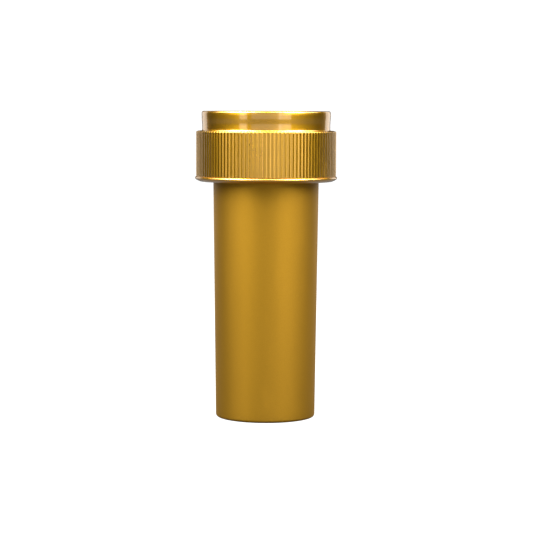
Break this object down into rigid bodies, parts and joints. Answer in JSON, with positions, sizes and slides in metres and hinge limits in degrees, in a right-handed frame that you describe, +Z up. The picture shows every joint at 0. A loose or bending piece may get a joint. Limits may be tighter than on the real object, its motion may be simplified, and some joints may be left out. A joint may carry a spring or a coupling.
{
  "type": "screw-cap vial",
  "caption": "Flat-bottomed tapered plastic vial with a ribbed screw cap that carries a smooth open ring on top.",
  "frame": {"origin": "centre of the ring that the vial stands on, at the lowest point of the base", "axes": "+Z up along the vial's axis, out of the open ring of the cap; +X and +Y are alike, because the body is round"},
  "size_m": [0.0355, 0.0354, 0.0766],
  "materials": {
    "vial_plastic": "satin gold-pigmented moulded polypropylene",
    "cap_plastic": "gloss gold-pigmented moulded polypropylene",
    "disc_foam": "matte natural foamed polyethylene"
  },
  "bodies": {
    "vial": {"vial": "vial_plastic"},
    "seal_disc": {"seal_disc": "disc_foam"},
    "cap": {"cap_shell": "cap_plastic"}
  },
  "joints": [
    {"name": "cap_lift", "type": "slide", "parent": "vial", "child": "seal_disc", "axis": [0, 0, 1], "range_m": [0, 0.0161]},
    {"name": "cap_turn", "type": "hinge", "parent": "seal_disc", "child": "cap", "pos_m": [0, 0, 0.07], "axis": [0, 0, 1], "range_deg": [0, 720]}
  ],
  "couplings": [
    {"joint": "cap_lift", "follows": "cap_turn", "m_per_rad": 0.0012732}
  ]
}
